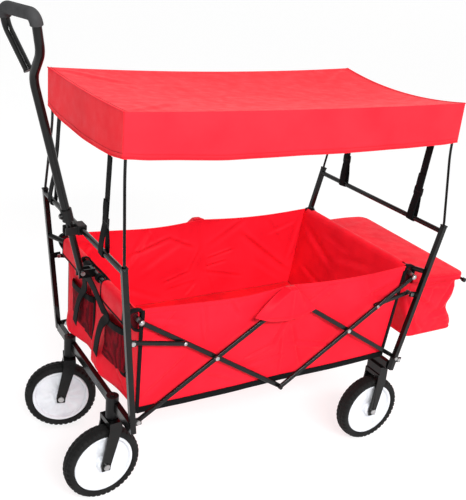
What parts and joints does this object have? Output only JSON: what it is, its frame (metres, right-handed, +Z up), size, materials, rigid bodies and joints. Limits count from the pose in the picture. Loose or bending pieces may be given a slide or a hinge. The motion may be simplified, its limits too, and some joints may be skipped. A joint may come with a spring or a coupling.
{
  "type": "folding pull wagon",
  "caption": "Folding pull wagon with a fabric tub, scissor sides, canopy on rods, rear bag, caster front wheels and a telescopic loop handle.",
  "frame": {"origin": "bottom centre of the whole wagon's box, on the floor", "axes": "+X forward towards the pull handle, +Y left, +Z up"},
  "size_m": [1.2761, 0.5742, 1.1871],
  "materials": {
    "black_frame": "glossy black powder coat",
    "plated_steel": "zinc plated",
    "tyre": "matt moulded rubber",
    "rim_plastic": "silver grey moulded plastic",
    "black_plastic": "moulded",
    "button_plastic": "moulded",
    "red_fabric": "coated polyester plain weave",
    "black_mesh": "open knit mesh",
    "black_webbing": "woven webbing",
    "floor_board": "fabric over a stiff board",
    "foam_grip": "soft closed-cell foam"
  },
  "bodies": {
    "front_frame": {"front_uprights": "black_frame", "front_end_caps": "black_plastic", "front_top_bar": "black_frame", "front_rim_rail": "black_frame", "front_lower_bar": "black_frame", "caster_housings": "black_plastic", "handle_clevis": "black_frame", "handle_pivot_bolt": "plated_steel", "handle_clip": "black_plastic", "front_pivot_rivets": "plated_steel", "front_canopy_rods": "black_frame", "front_canopy_straps": "black_webbing", "tub_front_wall": "red_fabric", "front_pockets": "black_mesh", "canopy": "red_fabric", "tub_sides": "red_fabric", "tub_floor": "red_fabric", "floor_mat": "floor_board"},
    "front_lift": {"front_lift_bars": "black_frame", "front_scissor_rivets": "plated_steel"},
    "front_drop": {"front_drop_bars": "black_frame", "floor_cross_rod": "black_frame"},
    "rear_lift": {"rear_lift_bars": "black_frame", "rear_scissor_rivets": "plated_steel"},
    "rear_drop": {"rear_drop_bars": "black_frame"},
    "rear_frame": {"rear_uprights": "black_frame", "rear_end_caps": "black_plastic", "rear_top_bar": "black_frame", "rear_rim_rail": "black_frame", "rear_lower_bar": "black_frame", "rear_forks": "black_frame", "rear_axles": "plated_steel", "rear_pivot_rivets": "plated_steel", "rear_canopy_rods": "black_frame", "rear_canopy_straps": "black_webbing", "tub_rear_wall": "red_fabric", "rear_bag": "red_fabric", "bag_rod": "black_frame"},
    "front_brace": {"front_braces": "black_frame"},
    "rear_brace": {"rear_braces": "black_frame"},
    "caster_left": {"caster_fork_left": "black_frame", "caster_axle_left": "plated_steel"},
    "caster_right": {"caster_fork_right": "black_frame", "caster_axle_right": "plated_steel"},
    "wheel_front_left": {"front_left_tyre": "tyre", "front_left_rim": "rim_plastic"},
    "wheel_front_right": {"front_right_tyre": "tyre", "front_right_rim": "rim_plastic"},
    "wheel_rear_left": {"rear_left_tyre": "tyre", "rear_left_rim": "rim_plastic"},
    "wheel_rear_right": {"rear_right_tyre": "tyre", "rear_right_rim": "rim_plastic"},
    "handle_lower": {"handle_lower_tube": "black_frame"},
    "handle_upper": {"handle_upper_tube": "black_frame", "handle_grip": "foam_grip", "handle_end_plug": "black_plastic", "lock_collar": "black_plastic"},
    "button": {"lock_button": "button_plastic"},
    "lid": {"bag_lid": "red_fabric"}
  },
  "joints": [
    {"name": "fold", "type": "hinge", "parent": "front_frame", "child": "front_lift", "pos_m": [0.415, 0, 0.272], "axis": [0, 1, 0], "range_deg": [0, 41.8], "deforming": ["canopy", "tub_sides", "tub_floor", "floor_mat"]},
    {"name": "front_cross", "type": "hinge", "parent": "front_lift", "child": "front_drop", "pos_m": [0.212, 0, 0.40189], "axis": [0, 1, 0], "range_deg": [-84, 1]},
    {"name": "floor_joint", "type": "hinge", "parent": "front_drop", "child": "rear_lift", "pos_m": [0.009, 0, 0.272], "axis": [0, 1, 0], "range_deg": [-1, 84]},
    {"name": "rear_cross", "type": "hinge", "parent": "rear_lift", "child": "rear_drop", "pos_m": [-0.194, 0, 0.40189], "axis": [0, 1, 0], "range_deg": [-84, 1]},
    {"name": "rear_foot", "type": "hinge", "parent": "rear_drop", "child": "rear_frame", "pos_m": [-0.397, 0, 0.272], "axis": [0, 1, 0], "range_deg": [-1, 43]},
    {"name": "front_brace_pivot", "type": "hinge", "parent": "front_frame", "child": "front_brace", "pos_m": [0.438, 0, 0.488], "axis": [0, 1, 0], "range_deg": [-1, 76.49]},
    {"name": "rear_brace_pivot", "type": "hinge", "parent": "rear_frame", "child": "rear_brace", "pos_m": [-0.399, 0, 0.481], "axis": [0, 1, 0], "range_deg": [-84.81, 1]},
    {"name": "caster_swivel_left", "type": "hinge", "parent": "front_frame", "child": "caster_left", "pos_m": [0.437, 0.16, 0.25], "axis": [0, 0, 1], "continuous": true},
    {"name": "caster_swivel_right", "type": "hinge", "parent": "front_frame", "child": "caster_right", "pos_m": [0.437, -0.16, 0.25], "axis": [0, 0, 1], "continuous": true},
    {"name": "front_left_spin", "type": "hinge", "parent": "caster_left", "child": "wheel_front_left", "pos_m": [0.46095, 0.16151, 0.1], "axis": [-0.0628, 0.998, 0], "continuous": true},
    {"name": "front_right_spin", "type": "hinge", "parent": "caster_right", "child": "wheel_front_right", "pos_m": [0.46007, -0.16662, 0.1], "axis": [0.2756, 0.9613, 0], "continuous": true},
    {"name": "rear_left_spin", "type": "hinge", "parent": "rear_frame", "child": "wheel_rear_left", "pos_m": [-0.3457, 0.228, 0.1], "axis": [0, 1, 0], "continuous": true},
    {"name": "rear_right_spin", "type": "hinge", "parent": "rear_frame", "child": "wheel_rear_right", "pos_m": [-0.3457, -0.228, 0.1], "axis": [0, 1, 0], "continuous": true},
    {"name": "handle_swing", "type": "hinge", "parent": "front_frame", "child": "handle_lower", "pos_m": [0.466, 0, 0.555], "axis": [0, 1, 0], "range_deg": [0, 100]},
    {"name": "handle_extend", "type": "slide", "parent": "handle_lower", "child": "handle_upper", "axis": [0.2385, 0, 0.9711], "range_m": [0, 0.25]},
    {"name": "button_press", "type": "slide", "parent": "handle_upper", "child": "button", "axis": [-0.9711, 0, 0.2385], "range_m": [0, 0.003], "stiffness_N_per_m": 600, "springref_m": -0.001},
    {"name": "lid_open", "type": "hinge", "parent": "rear_frame", "child": "lid", "pos_m": [-0.424, 0, 0.5063], "axis": [0, 1, 0], "range_deg": [0, 62]}
  ],
  "couplings": [
    {"joint": "front_cross", "follows": "fold", "ratio": -2},
    {"joint": "floor_joint", "follows": "fold", "ratio": 2},
    {"joint": "rear_cross", "follows": "fold", "ratio": -2},
    {"joint": "rear_foot", "follows": "fold", "ratio": 1},
    {"joint": "front_brace_pivot", "follows": "fold", "ratio": 1.8059},
    {"joint": "rear_brace_pivot", "follows": "fold", "ratio": -2.0051}
  ]
}
